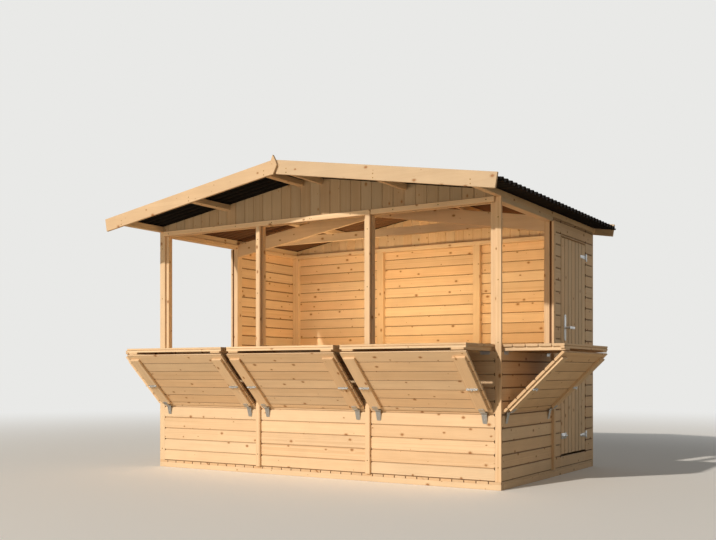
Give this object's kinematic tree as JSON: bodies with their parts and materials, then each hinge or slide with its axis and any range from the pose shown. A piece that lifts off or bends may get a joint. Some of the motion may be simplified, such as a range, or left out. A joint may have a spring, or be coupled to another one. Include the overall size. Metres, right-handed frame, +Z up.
{
  "type": "wooden market stall",
  "caption": "Panel-built timber sales hut with open counters at the front and sides, a boarded side door and a low gable roof of corrugated sheet.",
  "frame": {"origin": "on the ground at the centre of the floor plan, on the underside of the middle bearer", "axes": "+X to the right along the front, +Y from the front to the back, +Z up"},
  "size_m": [4.15, 2.59, 2.4631],
  "materials": {
    "spruce_boards": "planed, untreated",
    "spruce_framing": "planed, untreated",
    "bitumen_sheet": "matt, fibrous",
    "galvanised_steel": "zinc plated"
  },
  "bodies": {
    "stall": {"back_bargeboard_left": "spruce_framing", "back_bargeboard_right": "spruce_framing", "back_cover_strips": "spruce_framing", "back_gable": "spruce_boards", "back_header": "spruce_framing", "back_posts": "spruce_framing", "back_wall": "spruce_boards", "cross_bearers": "spruce_framing", "cross_top_rails": "spruce_framing", "door_posts": "spruce_framing", "floor": "spruce_boards", "front_bargeboard_left": "spruce_framing", "front_bargeboard_right": "spruce_framing", "front_counter_left": "spruce_boards", "front_counter_middle": "spruce_boards", "front_counter_right": "spruce_boards", "front_cover_strips": "spruce_framing", "front_gable": "spruce_boards", "front_header": "spruce_framing", "front_leaf_left": "spruce_boards", "front_leaf_middle": "spruce_boards", "front_leaf_right": "spruce_boards", "front_panel_left": "spruce_boards", "front_panel_middle": "spruce_boards", "front_panel_right": "spruce_boards", "front_posts": "spruce_framing", "leaf_brackets": "galvanised_steel", "left_counter": "spruce_boards", "left_leaf": "spruce_boards", "left_panel_low": "spruce_boards", "left_wall_rear": "spruce_boards", "ridge_cap": "bitumen_sheet", "ridge_purlins": "spruce_framing", "right_counter": "spruce_boards", "right_leaf": "spruce_boards", "right_panel_low": "spruce_boards", "right_wall_door_front": "spruce_boards", "right_wall_door_rear": "spruce_boards", "right_wall_over_door": "spruce_boards", "right_wall_under_door": "spruce_boards", "roof_sheet_left": "bitumen_sheet", "roof_sheet_right": "bitumen_sheet", "side_bearers": "spruce_framing", "side_cover_strips": "spruce_framing", "side_posts": "spruce_framing", "side_purlins": "spruce_framing", "side_top_rails": "spruce_framing", "sill_rails": "spruce_framing", "sole_rails": "spruce_framing", "truss_rafter_left": "spruce_framing", "truss_rafter_right": "spruce_framing", "truss_tie": "spruce_framing", "wall_hinge_leaves": "galvanised_steel", "wall_plates": "spruce_framing"},
    "door": {"door_leaf": "spruce_boards", "door_hinge_leaves": "galvanised_steel", "door_handle": "galvanised_steel", "door_bolt": "galvanised_steel"}
  },
  "joints": [
    {"name": "door_swing", "type": "hinge", "parent": "stall", "child": "door", "pos_m": [1.6313, 0.802, 0], "axis": [0, 0, 1], "range_deg": [0, 110]}
  ]
}
